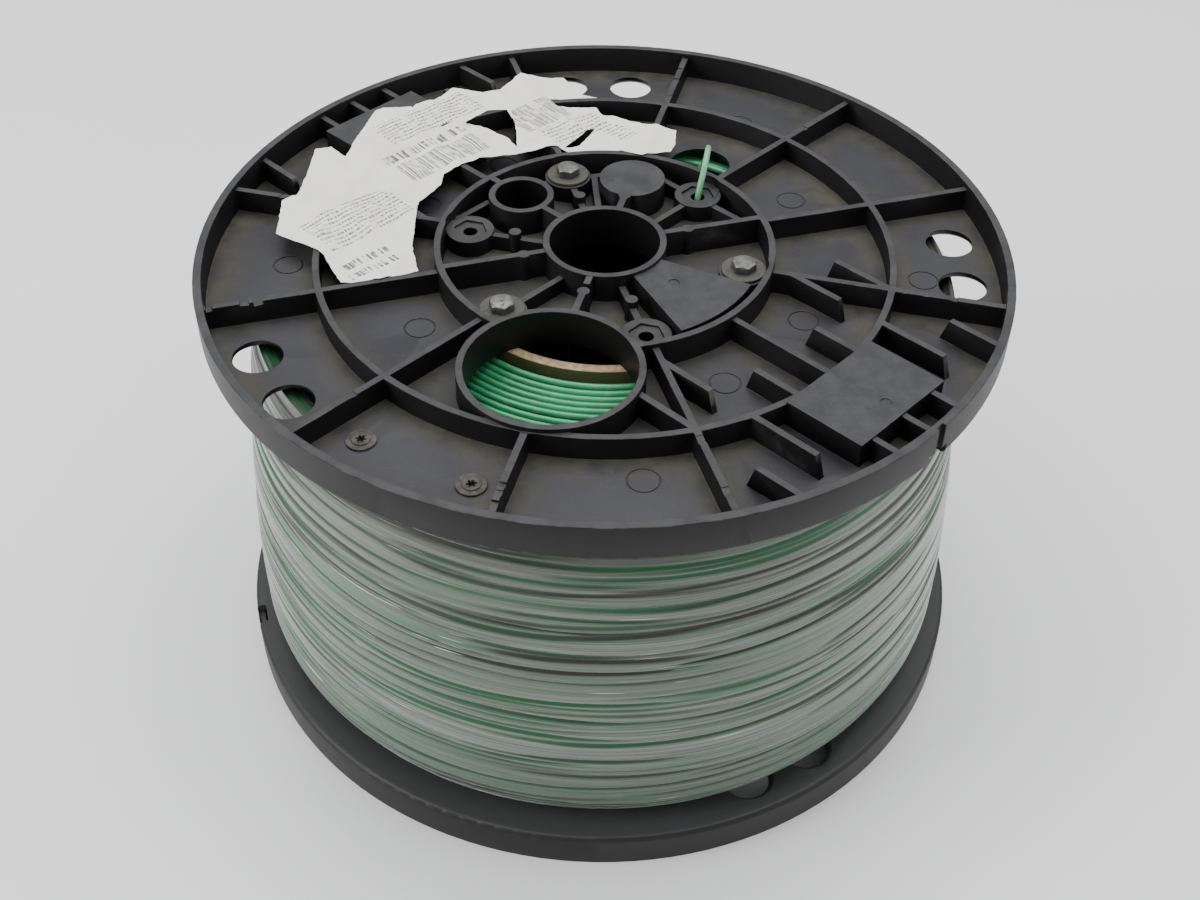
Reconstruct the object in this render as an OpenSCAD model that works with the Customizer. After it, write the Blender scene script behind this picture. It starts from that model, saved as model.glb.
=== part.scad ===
// Wire reel: two ribbed plastic flanges bolted over a fibre drum, wound with building wire,
// wrapped in stretch film. Millimetres; the arbor lies on Z and the bottom rim stands on z = 0.

/* [Reel] */
// Outside diameter of a flange
flange_d = 406.4; // [396:0.4:440]
// Distance between the inner faces of the two flanges
traverse = 203.2; // [160:0.4:260]

/* [Flange moulding] */
// Height of the rim, from the inner face to the outer edge
flange_h = 19.8; // [18.6:0.1:24]
// Thickness of the flange's plate
plate_t = 4.7; // [3.5:0.1:6]
// Wall of the rim
rim_wall = 4.2; // [3.5:0.1:7]
// Thickness of the ribs, small rings and pad walls
rib_t = 3.5; // [2.5:0.1:4.5]
// Rounding of the rim's corner beside the winding
rim_round = 3; // [1:0.1:4.5]
// How far the rib tops lie below the rim's edge
rib_drop = 3; // [2.2:0.1:5]
// How far the hub ring's top lies below the rim's edge
hub_drop = 0.6; // [0:0.1:2]
// How far the hub's low ribs lie below the rim's edge
low_rib_drop = 6.8; // [6.4:0.1:9]
// How far the label pads lie below the rim's edge
pad_drop = 2; // [1:0.1:2.2]
// Outside diameter of the ring halfway out
mid_ring_d = 292; // [288:0.5:298]
// Outside diameter of the ring round the hub
hub_ring_d = 171.6; // [168:0.2:178]
// Diameter of the arbor bore
arbor_d = 55.6; // [50:0.1:58]
// Wall of the arbor sleeve
arbor_wall = 3.4; // [2.5:0.1:5]
// How far the arbor sleeve stands out of the inner face
sleeve_in = 3.2; // [0:0.1:6]

/* [Flange openings] */
// Diameter of the round window
window_d = 80.4; // [70:0.2:81]
// Radius at which the window lies
window_at = 102; // [100:0.5:103]
// Diameter of the drive hole
drive_hole_d = 27.2; // [20:0.1:28]
// Radius at which the drive hole and the round pad lie
drive_hole_at = 60.5; // [58:0.1:63]
// Diameter of the tie holes at the rim
tie_hole_d = 24; // [12:0.5:28]
// Distance of the tie holes' centres from the rim's inside
tie_hole_inset = 18.5; // [16:0.1:22]
// Diameter of the hole that the wire's inner end comes through
start_hole_d = 33; // [20:0.5:36]
// Radius at which that hole lies
start_hole_at = 109; // [107:0.5:112]
// How far the tie holes and the start hole flare towards the winding
hole_flare = 2.4; // [0.5:0.1:3]

/* [Bolts] */
// Diameter of the tie bolts
bolt_d = 6.35; // [5:0.05:6.5]
// Clearance of the bolt holes on diameter
bolt_play = 0.85; // [0.4:0.05:1.5]
// Clearance between the bolts and the drum's inside
bolt_drum_gap = 0.325; // [0.3:0.025:2]
// Diameter of the bosses round the bolt holes
boss_d = 24.6; // [22:0.1:26]
// How far the boss tops lie below the rim's edge
boss_drop = 5.9; // [5.8:0.1:9]
// Depth of the six-sided nut pocket in a boss
pocket_depth = 1.4; // [1:0.1:4]
// Width of that pocket across flats
pocket_af = 15.2; // [14.8:0.1:17]
// Width of bolt heads and nuts across flats
hex_af = 11.1; // [9:0.1:12]
// Height of a bolt head
head_h = 4.1; // [3:0.1:5]
// Diameter of a washer
washer_d = 22; // [14:0.1:22]
// Thickness of a washer
washer_t = 1.6; // [0.8:0.1:2]
// Height of a flange nut
nut_h = 5.6; // [4.5:0.1:7]
// Diameter of the nut's own flange
nut_flange_d = 14.6; // [13:0.1:14.6]
// How far a bolt's end stands out of its nut
bolt_end = 1; // [0.5:0.1:4]

/* [Plate rivets] */
// Diameter of a rivet head
rivet_head_d = 14; // [10:0.1:18]
// Height of a rivet head
rivet_head_h = 1.6; // [1:0.1:2.5]
// Diameter of a rivet's shank
rivet_d = 6; // [5.6:0.1:8]

/* [Drum] */
// Outside diameter of the fibre drum
drum_d = 160.6; // [158:0.2:161.4]
// Wall of the drum
drum_wall = 5.8; // [2.5:0.1:7]

/* [Winding] */
// Diameter of the wire
wire_d = 3.3; // [2.6:0.1:3.6]
// Largest diameter of the wrapped winding
wound_d = 388; // [372:0.5:388]
// How much the winding's radius shrinks towards the top flange
top_slack = 16.6; // [8:0.1:20]
// How much the winding's radius is drawn in at the bottom flange
foot_tuck = 11; // [5:0.1:14]
// Loops that lie against the top flange
end_loops = 14; // [10:1:14]
// Loops of the outer layer
outer_loops = 10; // [6:1:10]
// Clear gap between neighbouring loops at the top flange
loop_gap = 0.5; // [0.45:0.05:0.6]
// Thickness of the wrapped film
film_t = 0.8; // [0.6:0.1:1.2]
// Depth of the film's creases
crease_depth = 1.1; // [0.6:0.1:1.3]

/* [Labels] */
// Thickness of a paper label
paper_t = 0.35; // [0.2:0.05:0.5]

/* [Hidden] */

// Running gap that parts keep from each other
gap = 0.3;
// Gap between the winding and the flanges' inner faces
winding_gap = 0.6;
// How far a cut runs past the face that it opens
over = 1;

flange_r = flange_d / 2;
rim_in = flange_r - rim_wall;
reel_h = traverse + 2 * flange_h;
bottom_face = flange_h;
top_face = flange_h + traverse;

rib_top = flange_h - rib_drop;
hub_top = flange_h - hub_drop;
low_rib_top = flange_h - low_rib_drop;
pad_top = flange_h - pad_drop;
boss_top = flange_h - boss_drop;
mid_ring_r = mid_ring_d / 2;
hub_ring_r = hub_ring_d / 2;
sleeve_r = arbor_d / 2 + arbor_wall;
// Circle that the bolts stand on, just inside the drum
bolt_circle_d = drum_d - 2 * drum_wall - bolt_d - 2 * bolt_drum_gap;
bolt_r = bolt_circle_d / 2;
bolt_hole_d = bolt_d + bolt_play;
bore_fn = 96;
ring_fn = 180;

// Directions round the flange, in degrees, seen from its outer side
first_rib = 16;
rib_step = 30;
axis_az = 76;
block_az = 316;
window_az = axis_az + 180;
drive_az = 136;
start_az = 61;
notch_az = 316.5;
bolted_az = [106, 226, 346];
pocket_az = [46, 166, 286];
tie_bay_az = [1, 91, 211];
tie_spread = 6;
rivet_az = [231.3, 250.6];
rivet_inset = 26;
rivet_at = rim_in - rivet_inset;
// Turns a direction on the top flange into the one on the flipped bottom flange
flip_az = 2 * axis_az;

/* Flange moulding, inner face on z = 0 and outer side up */

// Shapes are placed by worked-out points and not by rotate(), which rounds, so that the tops of
// ribs and rings that run into each other lie in one plane.
function turned(p, az) = [p[0] * cos(az) - p[1] * sin(az), p[0] * sin(az) + p[1] * cos(az)];

module disc_at(r, az, at, z0, z1, fn = bore_fn)
    translate([at * cos(az), at * sin(az), z0]) cylinder(r = r, h = z1 - z0, $fn = fn);

module tube_at(outer, inner, az, at, z0, z1, fn = bore_fn)
    difference() {
        disc_at(outer, az, at, z0, z1, fn);
        disc_at(inner, az, at, z0 - over, z1 + over, fn);
    }

// A block whose sides lie along a direction: u is the distance along it and v the distance beside it
module bar(az, u0, u1, v0, v1, z0, z1)
    translate([0, 0, z0]) linear_extrude(z1 - z0)
        polygon([for (p = [[u0, v0], [u1, v0], [u1, v1], [u0, v1]]) turned(p, az)]);

// A rib along a direction, from one radius to another
module radial_rib(az, r0, r1, top) bar(az, r0, r1, -rib_t / 2, rib_t / 2, 0, top);

// A rib beside the label block's middle; a free end slopes out to its foot
free_slope = 5;
module block_rib(az, v, u0, u1, free0 = false, free1 = false) {
    foot0 = u0 - (free0 ? free_slope : 0);
    foot1 = u1 + (free1 ? free_slope : 0);
    difference() {
        bar(az, foot0, foot1, v - rib_t / 2, v + rib_t / 2, 0, rib_top);
        if (free0) slope_cut(az, v, foot0, -1);
        if (free1) slope_cut(az, v, foot1, 1);
    }
}

// What is cut off a rib's end: everything past a slope that leans back from its foot
module slope_cut(az, v, foot, dir)
    rotate([0, 0, az]) translate([foot, v - rib_t, 0]) rotate([0, -dir * atan(free_slope / rib_top), 0])
        translate([dir > 0 ? 0 : -2 * free_slope, 0, -over])
            cube([2 * free_slope, 2 * rib_t, rib_top + 3 * over]);

// The label block: a flat pad with ribs on both sides, given by their distance from its middle
pad_in = mid_ring_r - 4;
pad_rim_gap = 15;
pad_half = 31;
pad_out = rim_in - pad_rim_gap;
pad_rib = 22;
pad_rib_lead = 25;
branch_rib = 47.5;
branch_rib_in = 112;
branch_end_gap = 20.2;
outer_rib = 72;
outer_rib_in = 91;
outer_rib_len = 26;
function along(r, v) = sqrt(r * r - v * v);
branch_rib_out = along(rim_in, branch_rib) - branch_end_gap;

module label_block(az) {
    mid_rim = rim_in + rim_wall / 2;
    mid_ring = mid_ring_r - rib_t / 2;
    bar(az, pad_in, pad_out, -pad_half, pad_half, 0, pad_top);
    block_rib(az, 0, hub_ring_r - rib_t / 2, pad_in + rib_t);
    block_rib(az, 0, pad_out - rib_t, mid_rim);
    for (side = [-1, 1]) {
        block_rib(az, side * pad_rib, pad_in - pad_rib_lead, pad_in + rib_t, free0 = true);
        block_rib(az, side * pad_rib, pad_out - rib_t, along(mid_rim, pad_rib));
        block_rib(az, side * branch_rib, branch_rib / tan(rib_step), branch_rib_in, free1 = true);
        block_rib(az, side * branch_rib, along(mid_ring, branch_rib), branch_rib_out, free1 = true);
        block_rib(az, side * outer_rib, outer_rib_in, along(mid_ring, outer_rib), free0 = true);
        block_rib(az, side * outer_rib, along(rim_in, outer_rib) - outer_rib_len,
                  along(mid_rim, outer_rib), free0 = true);
    }
}

module label_block_core(az)
    bar(az, pad_in + rib_t, pad_out - rib_t, rib_t - pad_half, pad_half - rib_t, -over, pad_top - rib_t);

// The flat pad in the hub, a sector between the arbor sleeve and the hub ring
wedge_half = 19;
wedge_out = hub_ring_r - 6.8;
module wedge(inset, z0, z1) {
    tip = inset / sin(wedge_half);
    far = hub_ring_r;
    side = (far - tip) * tan(wedge_half);
    translate([0, 0, z0]) linear_extrude(z1 - z0) intersection() {
        difference() {
            circle(r = wedge_out - inset, $fn = ring_fn);
            circle(r = sleeve_r - rib_t / 2 + 2 * inset, $fn = bore_fn);
        }
        polygon([for (p = [[tip, 0], [far, side], [far, -side]]) turned(p, block_az)]);
    }
}

pad_r = drive_hole_d / 2 + rib_t + 0.3;
// Low ribs join five of the bosses to the arbor sleeve; the hub's flat pad carries the sixth
boss_rib_az = [46, 106, 166, 226, 286];
low_rib_az = 94.5;
low_rib_out = 69;
// Low ribs square to a direction: the direction, their distance along it and where they begin and end
cross_ribs = [[46, 70, -40, 28], [106, 69, -26, 26], [drive_az, 74.5, 10, 38]];
// Posts: direction and radius. The tall ones stand in the tall ribs and the short ones in the low ribs
post_r = 3.2;
tall_posts = [[16, 44], [76, 43], [196, 42], [256, 43]];
short_posts = [[106, 47.5], [166, 47], [286, 46.5]];
// The rib towards the window has a gap beside the sleeve
stub_len = 6;
stub_gap = 5;

module hub_ribs() {
    from = sleeve_r - rib_t / 2;
    for (az = boss_rib_az) radial_rib(az, from, bolt_r - rib_t, low_rib_top);
    radial_rib(low_rib_az, from, low_rib_out, low_rib_top);
    for (at = cross_ribs) bar(at[0], at[1] - rib_t / 2, at[1] + rib_t / 2, at[2], at[3], 0, low_rib_top);
    for (az = [first_rib, first_rib + 180]) radial_rib(az, from, hub_ring_r - rib_t / 2, hub_top);
    radial_rib(axis_az, from, drive_hole_at - rib_t, hub_top);
    radial_rib(drive_az, from, drive_hole_at - drive_hole_d / 2 - rib_t / 2, hub_top);
    radial_rib(drive_az, drive_hole_at + drive_hole_d / 2 + rib_t / 2, hub_ring_r - rib_t / 2, hub_top);
    radial_rib(window_az, from, sleeve_r + stub_len, hub_top);
    radial_rib(window_az, sleeve_r + stub_len + stub_gap, window_at - window_d / 2, hub_top);
    for (at = tall_posts) disc_at(post_r, at[0], at[1], 0, hub_top, 32);
    for (at = short_posts) disc_at(post_r, at[0], at[1], 0, rib_top, 32);
}

module ribs()
    for (k = [0:11]) {
        az = first_rib + k * rib_step;
        if (az != block_az && az != block_az - 180)
            radial_rib(az, az == window_az ? mid_ring_r - rib_t : hub_ring_r - rib_t / 2,
                       rim_in + rim_wall / 2, rib_top);
    }

// Faint rings that the ejector pins leave in the plate
pin_mark_d = 15.5;
pin_mark_w = 0.8;
pin_mark_depth = 0.5;
// Direction of each mark and its distance outside the ring halfway out
mark_places = [[31, -29], [121, -37.5], [151, -37.5], [211, -42], [301, -37.5], [335, -39],
               [356, 15], [61, 14], [181, 14], [276, 14], [301, 14]];
module pin_marks()
    for (at = mark_places)
        tube_at(pin_mark_d / 2, pin_mark_d / 2 - pin_mark_w, at[0], mid_ring_r + at[1],
                plate_t - pin_mark_depth, plate_t + over, 48);

// Dimples that pins leave in the hub's flat pad and in the label pad
dimple_r = 2.7;
dimple_depth = 0.5;
dimple_inset = 10;
hub_dimple_at = 15.6;
module pad_dimples()
    for (at = [sleeve_r + hub_dimple_at, pad_out - dimple_inset])
        disc_at(dimple_r, block_az, at, pad_top - dimple_depth, pad_top + over, 32);

// A six-sided prism of a given width across flats
module hex_prism(af, h) cylinder(r = af / sqrt(3), h = h, $fn = 6);

notch_w = 13;
notch_h = 6;
groove_w = 5;
groove_depth = 2;
module rim_notch() {
    bar(notch_az, rim_in - over, flange_r + over, -notch_w / 2, notch_w / 2, -over, notch_h);
    bar(notch_az, flange_r - groove_depth, flange_r + over, -groove_w / 2, groove_w / 2, -over,
        flange_h + over);
}

// A round hole through the plate that widens towards the inner face
module flared_hole(r, az, at) {
    disc_at(r, az, at, -over, plate_t + over);
    translate([at * cos(az), at * sin(az), -over])
        cylinder(r1 = r + hole_flare + over, r2 = r, h = hole_flare + over, $fn = bore_fn);
}

// What is taken off the rim's outer corner at the inner face
module corner_round()
    rotate_extrude($fn = ring_fn) difference() {
        translate([flange_r - rim_round, -over]) square([rim_round + over, rim_round + over]);
        translate([flange_r - rim_round, rim_round]) circle(r = rim_round, $fn = 48);
    }

module flange_moulding(riveted = false)
    difference() {
        union() {
            cylinder(r = flange_r, h = plate_t, $fn = ring_fn);
            tube_at(flange_r, rim_in, 0, 0, 0, flange_h, ring_fn);
            tube_at(mid_ring_r, mid_ring_r - rib_t, 0, 0, 0, rib_top, ring_fn);
            tube_at(hub_ring_r, hub_ring_r - rib_t, 0, 0, 0, hub_top, ring_fn);
            disc_at(sleeve_r, 0, 0, -sleeve_in, flange_h);
            ribs();
            hub_ribs();
            label_block(block_az);
            label_block(block_az - 180);
            wedge(0, 0, pad_top);
            disc_at(window_d / 2 + rib_t, window_az, window_at, 0, hub_top);
            disc_at(drive_hole_d / 2 + rib_t, drive_az, drive_hole_at, 0, hub_top);
            disc_at(pad_r, axis_az, drive_hole_at, 0, hub_top);
            for (az = concat(bolted_az, pocket_az)) disc_at(boss_d / 2, az, bolt_r, 0, boss_top);
        }
        // Clear space over the bosses for the washers, heads and nuts
        for (az = concat(bolted_az, pocket_az))
            disc_at(boss_d / 2 - 0.1, az, bolt_r, boss_top, flange_h + over);
        disc_at(arbor_d / 2, 0, 0, -sleeve_in - over, flange_h + over);
        disc_at(window_d / 2, window_az, window_at, -over, flange_h + over);
        disc_at(drive_hole_d / 2, drive_az, drive_hole_at, -over, flange_h + over);
        flared_hole(start_hole_d / 2, start_az, start_hole_at);
        for (az = tie_bay_az, side = [-1, 1])
            flared_hole(tie_hole_d / 2, az + side * tie_spread, rim_in - tie_hole_inset);
        for (az = concat(bolted_az, pocket_az))
            disc_at(bolt_hole_d / 2, az, bolt_r, -over, boss_top + over, 48);
        for (az = pocket_az)
            rotate([0, 0, az]) translate([bolt_r, 0, boss_top - pocket_depth])
                hex_prism(pocket_af, pocket_depth + over);
        disc_at(pad_r - rib_t, axis_az, drive_hole_at, -over, hub_top - rib_t);
        label_block_core(block_az);
        label_block_core(block_az - 180);
        wedge(rib_t, -over, pad_top - rib_t);
        rim_notch();
        corner_round();
        pin_marks();
        pad_dimples();
        if (riveted)
            for (az = rivet_az)
                disc_at(rivet_d / 2 + gap, az, rivet_at, -over, plate_t + over, 48);
    }

module top_flange()
    color("#38383b") translate([0, 0, top_face]) flange_moulding(riveted = true);

// The same moulding turned over about the horizontal line through the window
module bottom_flange()
    color("#38383b") translate([0, 0, bottom_face]) rotate([0, 0, flip_az]) rotate([180, 0, 0])
        flange_moulding();

/* Drum and fasteners */

module drum_tube()
    color("#b8935f") translate([0, 0, bottom_face])
        tube_at(drum_d / 2, drum_d / 2 - drum_wall, 0, 0, 0, traverse, ring_fn);

washer_z = top_face + boss_top;
head_z = washer_z + washer_t;
nut_z = bottom_face - (boss_top - pocket_depth);
bolt_low = nut_z - nut_h - bolt_end;

module at_bolts() for (az = bolted_az) rotate([0, 0, az]) translate([bolt_r, 0, 0]) children();

module tie_bolts()
    color("#8d8f90") at_bolts() {
        translate([0, 0, bolt_low]) cylinder(d = bolt_d, h = head_z - bolt_low, $fn = 48);
        // The head's corners are turned off at 30 degrees
        translate([0, 0, head_z]) intersection() {
            hex_prism(hex_af, head_h);
            cylinder(r1 = 0.49 * hex_af + head_h / tan(30), r2 = 0.49 * hex_af, h = head_h, $fn = 48);
        }
    }

module head_washers()
    color("#9a9c9b") at_bolts() translate([0, 0, washer_z])
        tube_at(washer_d / 2, bolt_hole_d / 2, 0, 0, 0, washer_t, 48);

nut_flange_h = 1.4;
module flange_nuts()
    color("#8d8f90") at_bolts() translate([0, 0, nut_z - nut_h]) difference() {
        union() {
            hex_prism(hex_af, nut_h);
            translate([0, 0, nut_h - nut_flange_h])
                cylinder(d = nut_flange_d, h = nut_flange_h, $fn = 48);
        }
        translate([0, 0, -over]) cylinder(r = bolt_d / 2 + 0.05, h = nut_h + 2 * over, $fn = 48);
    }

// The rivet's shank ends flush with the plate's inner face, and a star-shaped drive marks its head
rivet_crown_d = 8.7;
rivet_rim_h = rivet_head_h - 0.6;
star_slots = 3;
slot_w = 1.2;
slot_len = 4.6;
slot_low = plate_t - 1;
module plate_rivets()
    color("#3f3d38") for (az = rivet_az)
        rotate([0, 0, az]) translate([rivet_at, 0, top_face]) difference() {
            union() {
                cylinder(d = rivet_d, h = plate_t, $fn = 48);
                translate([0, 0, plate_t]) cylinder(d = rivet_head_d, h = rivet_rim_h, $fn = 64);
                translate([0, 0, plate_t]) cylinder(d = rivet_crown_d, h = rivet_head_h, $fn = 64);
            }
            for (k = [1:star_slots])
                rotate([0, 0, k * 180 / star_slots]) translate([-slot_len / 2, -slot_w / 2, slot_low])
                    cube([slot_len, slot_w, rivet_head_h + 2 * over]);
        }

/* Winding */

function share_up(z) = (z - bottom_face) / traverse;
function top_part(f) = max(0, (f - 0.2) / 0.8);
function foot_part(f) = max(0, 1 - f / 0.1);
// Radius of the wrapped winding at a height, and its least radius within a distance of it
function wound_r(z) = wound_d / 2 - top_slack * pow(top_part(share_up(z)), 1.6)
                      - foot_tuck * pow(foot_part(share_up(z)), 2);
function least_r(z, near) = min(wound_r(z - near), wound_r(z + near));

loop_rings = 24;
wire_sides = 6;
wire_r = wire_d / 2;
ring_step = 360 / loop_rings;
// A tube with straight runs between rings lies inside its circle by this share of the radius
sag_share = 1 - cos(ring_step / 2);

// Closed faces of a tube of n rings with s sides
function tube_faces(n, s) = concat(
    [for (i = [0:n - 2], k = [0:s - 1]) [i * s + k, i * s + (k + 1) % s, (i + 1) * s + k]],
    [for (i = [0:n - 2], k = [0:s - 1])
        [i * s + (k + 1) % s, (i + 1) * s + (k + 1) % s, (i + 1) * s + k]],
    [for (k = [1:s - 2]) [0, k + 1, k]],
    [for (k = [1:s - 2]) [(n - 1) * s, (n - 1) * s + k, (n - 1) * s + k + 1]]);

// Ring centres are [azimuth, radius, height]; each ring stands square to its loop
function ring_points(c, s) =
    [for (k = [0:s - 1]) let (a = 360 * k / s, r = c[1] + wire_r * cos(a))
        [r * cos(c[0]), r * sin(c[0]), c[2] + wire_r * sin(a)]];
function place(c) = [c[1] * cos(c[0]), c[1] * sin(c[0]), c[2]];

module wound_tube(centres)
    polyhedron(points = [for (c = centres) each ring_points(c, wire_sides)],
               faces = tube_faces(len(centres), wire_sides), convexity = 20);

// Least distance between the skins of loops that pass each other
function least_gap(centres) =
    let (p = [for (c = centres) place(c)], n = len(p))
    min([for (i = [0:n - 1 - loop_rings / 2]) each
         [for (j = [i + loop_rings / 2:min(n - 1, i + 3 * loop_rings / 2)]) norm(p[i] - p[j])]]) - wire_d;

// The turns against the top flange: each lies further out and lower than the one before
end_start_az = 102;
end_drop_angle = 27;
end_first_r = (drum_d / 2 + gap + wire_r) / (1 - sag_share);
end_first_z = top_face - 4.9;
loop_step = wire_d + loop_gap;
function end_centre(i) =
    let (t = i / loop_rings)
    [end_start_az + ring_step * i,
     end_first_r + t * loop_step * cos(end_drop_angle),
     end_first_z - t * loop_step * sin(end_drop_angle)];
// Straight ends, one wire diameter long
function straight_end(c, dir) =
    let (a = dir * asin(wire_d / c[1])) [c[0] + a, c[1] / cos(a), c[2]];
end_path = let (n = end_loops * loop_rings)
    concat([for (i = [0:n]) end_centre(i)], [straight_end(end_centre(n), 1)]);

// The outer layer climbs from flange to flange just under the film
outer_wire_in = film_t + crease_depth + gap + wire_r;
outer_low = bottom_face + winding_gap + wire_r;
outer_high = top_face - 12;
function outer_centre(i) =
    let (z = outer_low + (outer_high - outer_low) * i / (outer_loops * loop_rings))
    [ring_step * i, least_r(z, wire_r) - outer_wire_in, z];
outer_path = let (n = outer_loops * loop_rings)
    concat([straight_end(outer_centre(0), -1)], [for (i = [0:n]) outer_centre(i)],
           [straight_end(outer_centre(n), 1)]);

module end_turns() {
    echo(end_turns_least_gap_mm = least_gap(end_path));
    color("#41ad74") wound_tube(end_path);
}

module outer_turns() {
    echo(outer_turns_least_gap_mm = least_gap(outer_path));
    color("#3a9a68") wound_tube(outer_path);
}

// The layers below: a cone under the end turns, a valley, a shoulder and the outer wall
function core_r(z) = (least_r(z, wire_d + gap) - outer_wire_in) * (1 - sag_share) - wire_r - gap;
function cone_z(r) = end_first_z - (r - end_first_r) * tan(end_drop_angle)
                     - (wire_r + gap) / cos(end_drop_angle) - r * sag_share * tan(end_drop_angle);
core_in = drum_d / 2 + gap;
core_low = bottom_face + winding_gap;
valley_r = end_first_r + end_loops * loop_step * cos(end_drop_angle) + 3;
shoulder_z = top_face - 9;
shoulder_r = core_r(shoulder_z) - 5;
core_steps = 16;
core_outline = concat(
    [[core_in, core_low]],
    [for (i = [0:core_steps]) let (z = core_low + (shoulder_z - 5 - core_low) * pow(i / core_steps, 1.5))
        [core_r(z), z]],
    [[shoulder_r, shoulder_z], [valley_r, cone_z(valley_r)], [core_in, cone_z(core_in)]]);

module wire_core()
    color("#3c9f6b") rotate_extrude($fn = ring_fn) polygon(core_outline);

// Film: smooth inside, creased into irregular bands outside
film_low = bottom_face + winding_gap;
film_high = top_face - winding_gap;
film_step = 1.6;
function crease(z) = crease_depth * (0.55 * abs(sin(z * 26)) + 0.45 * abs(sin(z * 11 + 40)));
function film_in(z) = wound_r(z) - film_t - crease_depth;
film_rows = floor((film_high - film_low) / film_step);
inner_rows = 32;
function film_z(i, rows) = film_low + (film_high - film_low) * i / rows;
film_outline = concat(
    [for (i = [0:film_rows]) let (z = film_z(i, film_rows)) [wound_r(z) - crease(z), z]],
    [for (i = [inner_rows:-1:0]) let (z = film_z(i, inner_rows)) [film_in(z), z]]);

module stretch_film()
    color("#a9b7a8") rotate_extrude($fn = ring_fn) polygon(film_outline);

/* Wire tail: out of the start hole, over the hub ring and down into a nut pocket */

tail_sides = 8;
tail_route = [[-17.2, 81.2, 218.1], [-13.7, 81.9, 218.2], [-7, 83, 219.2], [1, 84.6, 220.2],
              [10, 86.2, 220.6], [20, 88.2, 220.6], [30, 90, 220.4], [39, 91.2, 220.4],
              [46, 91.6, 221.8], [51.5, 91.5, 225.6], [54.8, 90.8, 231], [56, 89, 237.5],
              [56.2, 85, 243.5], [55.8, 79.5, 248], [55, 72.5, 250.3], [53.8, 65.5, 249],
              [52.3, 59.5, 245.3], [50.6, 54.6, 240], [49.5, 51.9, 234], [49.3, 51.1, 227],
              [49.3, 51.1, 220.5]];

function unit(v) = v / norm(v);
function tangent(p, i) = unit(p[min(i + 1, len(p) - 1)] - p[max(i - 1, 0)]);
function square_to(v, t) = unit(v - (v * t) * t);
function swept_rings(p, r, s, side0) =
    [for (i = 0, side = square_to(side0, tangent(p, 0)); i < len(p);
          i = i + 1, side = square_to(side, tangent(p, min(i, len(p) - 1))))
        each let (t = tangent(p, i), up = cross(t, side))
            [for (k = [0:s - 1]) p[i] + r * (cos(360 * k / s) * side + sin(360 * k / s) * up)]];

module wire_tail()
    color("#4fbf84")
        polyhedron(points = swept_rings(tail_route, wire_r, tail_sides, [-0.208, 0.978, 0]),
                   faces = tube_faces(len(tail_route), tail_sides), convexity = 8);

/* Paper labels, torn, lying on the label pad and the rib tops */

label_z = top_face + pad_top;
lower_edge = [[-109, 131], [-99, 113], [-86, 98], [-68, 80], [-73, 76], [-86, 66], [-87, 56],
              [-97, 38], [-97, 0], [-92, -21], [-110, -31], [-129, -31], [-140, -10], [-155, 2],
              [-167, 10], [-168, 38], [-161, 42], [-157, 87], [-149, 90], [-140, 80],
              [-129, 125], [-125, 129]];
upper_edge = [[-120, 104], [-107, 134], [-97, 140], [-87, 155], [-70, 153], [-60, 157], [-49, 172],
              [-38, 171], [-24, 172], [-13, 153], [-4, 149], [-27, 146], [-33, 144], [-26, 136],
              [-5, 139], [-1, 130], [5, 130], [21, 120], [40, 112], [39, 98], [36, 90], [28, 86],
              [20, 80], [-2, 90], [-20, 89], [-27, 93], [-55, 86], [-66, 84], [-78, 78]];
upper_tear = [[-78, 117], [-66, 130], [-55, 131], [-51, 122], [-49, 110], [-48, 95], [-53, 104],
              [-65, 113]];
upper_slit = [[-22, 92], [-10, 112], [-5, 115], [-14, 97]];

module upper_label()
    color("#e3dfd6") translate([0, 0, label_z]) linear_extrude(paper_t) difference() {
        polygon(upper_edge);
        polygon(upper_tear);
        polygon(upper_slit);
        circle(r = hub_ring_r + gap, $fn = ring_fn);
    }

module lower_label()
    color("#e6e3db") translate([0, 0, label_z + paper_t]) linear_extrude(paper_t) difference() {
        polygon(lower_edge);
        circle(r = hub_ring_r + gap, $fn = ring_fn);
    }

top_flange();
bottom_flange();
drum_tube();
tie_bolts();
head_washers();
flange_nuts();
plate_rivets();
wire_core();
end_turns();
outer_turns();
stretch_film();
wire_tail();
upper_label();
lower_label();
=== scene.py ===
"""A full reel of green building wire: two ribbed plastic flanges bolted over a fibre drum,
the winding between them wrapped in stretch film. Metres, Z up, the arbor on Z, the rim on Z = 0."""
import math
import random

import bmesh
import bpy
import numpy as np
from mathutils import Matrix, Vector, geometry, noise


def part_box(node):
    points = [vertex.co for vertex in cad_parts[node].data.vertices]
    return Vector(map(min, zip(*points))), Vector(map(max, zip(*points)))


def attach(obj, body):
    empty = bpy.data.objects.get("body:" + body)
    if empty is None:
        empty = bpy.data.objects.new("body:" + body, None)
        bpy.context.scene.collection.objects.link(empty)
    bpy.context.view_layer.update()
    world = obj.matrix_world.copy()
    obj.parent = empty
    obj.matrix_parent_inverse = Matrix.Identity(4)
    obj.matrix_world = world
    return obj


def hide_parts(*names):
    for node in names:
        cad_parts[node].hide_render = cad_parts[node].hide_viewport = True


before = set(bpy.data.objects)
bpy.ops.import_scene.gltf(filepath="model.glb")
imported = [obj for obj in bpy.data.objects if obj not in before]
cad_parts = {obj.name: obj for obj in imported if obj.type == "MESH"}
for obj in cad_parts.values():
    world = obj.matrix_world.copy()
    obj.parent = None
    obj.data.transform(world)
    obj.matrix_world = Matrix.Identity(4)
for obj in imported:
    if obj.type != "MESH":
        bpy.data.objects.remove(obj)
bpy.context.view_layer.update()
MM = 0.001


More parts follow.
